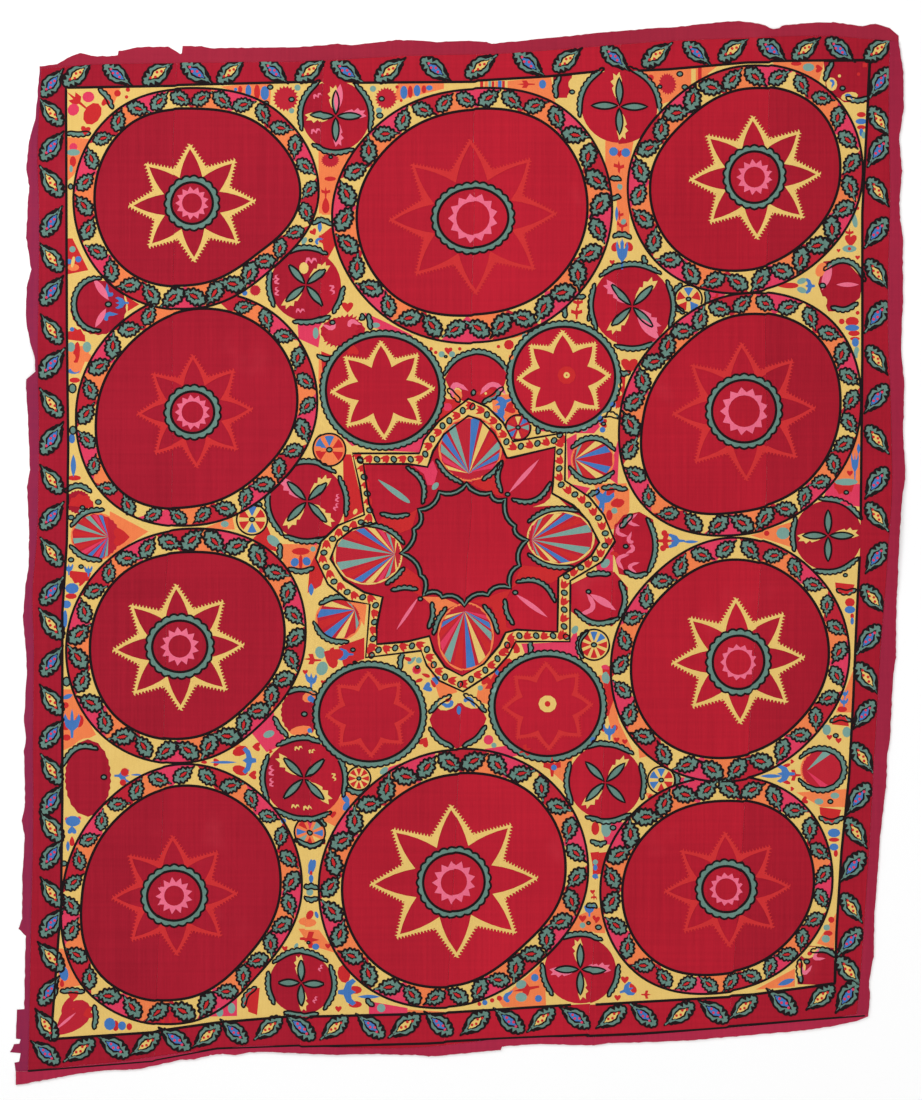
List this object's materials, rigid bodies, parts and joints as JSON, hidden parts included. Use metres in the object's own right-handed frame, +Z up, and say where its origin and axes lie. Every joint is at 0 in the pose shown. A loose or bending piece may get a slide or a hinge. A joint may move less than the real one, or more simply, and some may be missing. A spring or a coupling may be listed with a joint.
{
  "type": "suzani embroidered textile",
  "caption": "Large flat embroidered cotton cloth, sewn from narrow strips and edged all round, lying in low soft folds.",
  "frame": {"origin": "on the surface that the cloth lies on, under the middle of its length and width", "axes": "+Z up out of the embroidered face, +Y to the top of the design, +X to its right"},
  "size_m": [1.9691, 2.3405, 0.0108],
  "materials": {
    "ground_cotton": "matte handwoven cotton, crimson, ribbed",
    "edging_cotton": "matte cotton folded double, magenta",
    "silk_yellow": "couched silk stitches, soft sheen",
    "silk_orange": "couched silk stitches, soft sheen",
    "silk_red": "couched silk stitches, soft sheen",
    "silk_pink": "couched silk stitches, soft sheen",
    "silk_green": "couched silk stitches, soft sheen",
    "silk_blue": "couched silk stitches, soft sheen",
    "silk_teal": "couched silk stitches, soft sheen",
    "outline_thread": "chain stitch in near-black brown"
  },
  "bodies": {
    "root": {"ground_strip_1": "ground_cotton", "ground_strip_2": "ground_cotton", "ground_strip_3": "ground_cotton", "ground_strip_4": "ground_cotton", "ground_strip_5": "ground_cotton", "ground_strip_6": "ground_cotton", "edging_top": "edging_cotton", "edging_bottom": "edging_cotton", "edging_left": "edging_cotton", "edging_right": "edging_cotton"}
  },
  "joints": []
}
